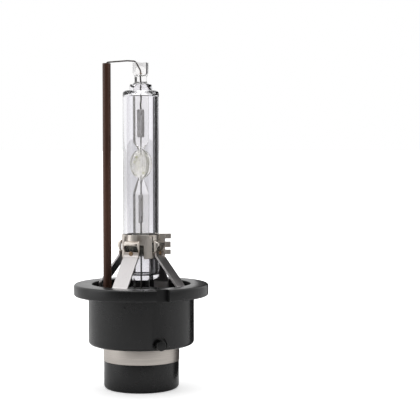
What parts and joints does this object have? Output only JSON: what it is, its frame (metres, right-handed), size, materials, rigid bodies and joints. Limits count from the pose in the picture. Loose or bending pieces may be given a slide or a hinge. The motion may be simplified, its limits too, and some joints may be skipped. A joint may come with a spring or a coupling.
{
  "type": "headlight bulb",
  "caption": "Xenon discharge headlight bulb: glass burner in a clamp ring on strap legs, black flanged base, steel contact band and rear contact socket.",
  "frame": {"origin": "on the lamp axis in the reference plane, which is the flange's top face", "axes": "+Z along the lamp axis from the base towards the burner's tip, -Y the front, +X to the front's right"},
  "size_m": [0.0308, 0.0308, 0.0748],
  "materials": {
    "black_moulding": "semi-gloss moulded",
    "cap_moulding": "semi-gloss moulded",
    "sleeve_plastic": "matt moulded",
    "contact_steel": "brushed round the ring",
    "contact_brass": "turned",
    "clamp_steel": "pressed sheet, warm tint",
    "leg_steel": "satin strip",
    "weld_metal": "heat-tinted weld",
    "envelope_glass": "clear, drawn",
    "quartz": "clear, faintly clouded at the bulb",
    "molybdenum": "rolled foil",
    "tungsten": "drawn rod",
    "lead_metal": "drawn wire",
    "wire_metal": "drawn nickel wire, oxidised",
    "salt": "crystalline beads",
    "brown_ceramic": "unglazed, drawn"
  },
  "bodies": {
    "root": {"base_shell": "black_moulding", "rear_cap": "cap_moulding", "bayonet_pins": "black_moulding", "contact_band": "contact_steel", "insulating_sleeve": "sleeve_plastic", "centre_contact": "contact_brass", "centre_weld": "weld_metal", "arc_tube": "quartz", "outer_envelope": "envelope_glass", "upper_foil": "molybdenum", "lower_foil": "molybdenum", "upper_electrode": "tungsten", "lower_electrode": "tungsten", "upper_lead_wire": "lead_metal", "lower_lead_wire": "lead_metal", "halide_salt": "salt", "return_wire": "wire_metal", "tip_weld": "weld_metal", "return_weld": "weld_metal", "ceramic_tube": "brown_ceramic", "clamp_ring": "clamp_steel", "front_leg": "leg_steel", "right_leg": "leg_steel", "rear_leg": "leg_steel", "left_leg": "leg_steel", "weld_spots": "weld_metal"}
  },
  "joints": []
}
